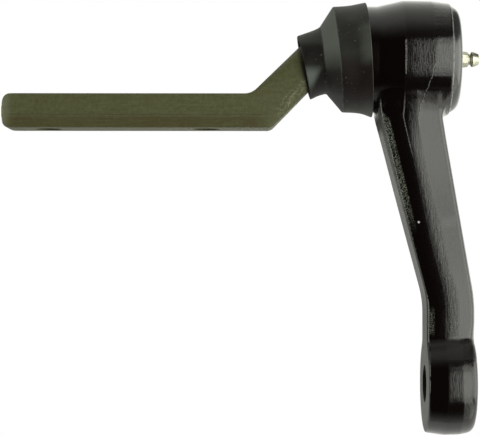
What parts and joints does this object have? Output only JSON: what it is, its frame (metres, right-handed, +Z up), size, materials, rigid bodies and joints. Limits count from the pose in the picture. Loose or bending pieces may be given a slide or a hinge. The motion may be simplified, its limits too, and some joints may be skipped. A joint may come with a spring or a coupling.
{
  "type": "steering idler arm",
  "caption": "Steering idler arm: a bent bracket bolts to the frame, and a forged arm swings on its pin in a sealed, greased pivot and carries the steering link in a taper hole.",
  "frame": {"origin": "middle of the bar's bolting face (its underside), halfway between the two bolt holes", "axes": "+X along the bar and the pivot axis towards the grease nipple, +Z up from the bolting face, the arm hangs along -Z; the part is symmetric about the plane Y = 0"},
  "size_m": [0.223, 0.0544, 0.2028],
  "materials": {
    "olive_phosphate": "dull olive grey phosphate coat on a steel forging",
    "black_paint": "glossy black paint over rough forged steel",
    "boot_rubber": "satin black moulded rubber",
    "bare_steel": "bright ground steel",
    "spring_steel": "oiled spring steel",
    "bearing_bronze": "turned bearing bronze",
    "pale_brass": "pale yellow plated nipple"
  },
  "bodies": {
    "bracket": {"frame_bracket": "olive_phosphate", "dust_boot": "boot_rubber", "boot_side_washer": "spring_steel", "cover_side_washer": "spring_steel", "preload_spring": "spring_steel", "retaining_ring": "spring_steel"},
    "arm": {"idler_arm": "black_paint", "boot_side_bushing": "bearing_bronze", "cover_side_bushing": "bearing_bronze", "end_cover": "black_paint", "cover_seal": "boot_rubber", "nipple_body": "pale_brass", "nipple_spring": "bare_steel"},
    "check_ball": {"nipple_ball": "bare_steel"}
  },
  "joints": [
    {"name": "arm_swing", "type": "hinge", "parent": "bracket", "child": "arm", "pos_m": [0.13, 0, 0.0328], "axis": [1, 0, 0], "range_deg": [-45, 45]},
    {"name": "nipple_check", "type": "slide", "parent": "arm", "child": "check_ball", "axis": [-1, 0, 0], "range_m": [0, 0.0008], "stiffness_N_per_m": 400, "deforming": ["nipple_spring"]}
  ]
}
